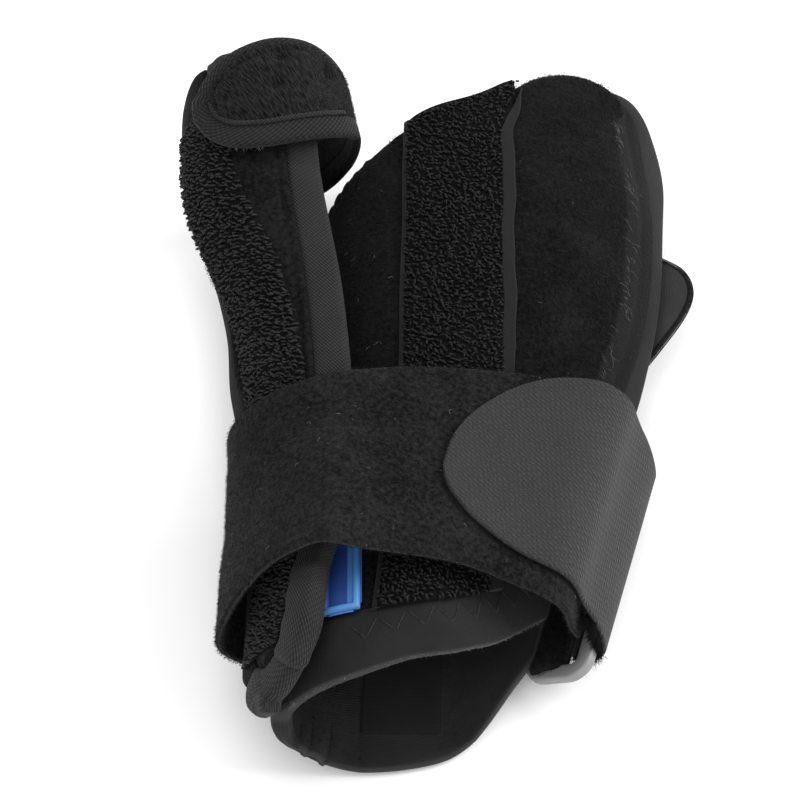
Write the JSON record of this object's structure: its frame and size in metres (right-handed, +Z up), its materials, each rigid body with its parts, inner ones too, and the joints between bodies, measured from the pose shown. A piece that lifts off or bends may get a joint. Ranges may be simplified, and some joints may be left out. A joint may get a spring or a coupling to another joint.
{
  "type": "thumb spica splint",
  "caption": "Soft wrist and thumb splint: velour foam sleeve, padded thumb stay, thumb strap with an oval tab, and a wide wrist strap folded back through a plastic ring.",
  "frame": {"origin": "middle of the splint's box, on the surface that it lies on", "axes": "+Z up from the surface, +Y from the forearm to the fingers, thumb side at -X"},
  "size_m": [0.1419, 0.2, 0.0685],
  "materials": {
    "velour": "short brushed loop pile, black",
    "strap_velour": "short brushed loop pile, faded black",
    "coarse_loop": "coarse uncut loop pile, black",
    "smooth_binding": "smooth folded jersey tape",
    "smooth_foam": "smooth jersey-faced foam",
    "lining": "plain dark webbing",
    "grey_knit": "smooth grey knit with a dark oversewn edge",
    "twill_tape": "diagonal twill tape",
    "hook_weave": "grey woven back of a moulded hook tape",
    "ring_plastic": "satin moulded plastic, dark grey",
    "label_rubber": "soft moulded label, blue, bare"
  },
  "bodies": {
    "root": {"front_panel": "velour", "panel_binding": "smooth_binding", "wrist_cuff": "smooth_foam", "back_panel": "smooth_foam", "pocket_strip": "lining", "loop_tape": "coarse_loop", "closure_flap": "grey_knit", "thumb_stay": "velour", "stay_loop_tape": "coarse_loop", "stay_binding": "twill_tape", "thumb_strap": "velour", "thumb_strap_binding": "twill_tape", "wrist_strap": "strap_velour", "hook_tab": "hook_weave", "strap_ring": "ring_plastic", "ring_anchor": "lining", "label": "label_rubber"}
  },
  "joints": []
}
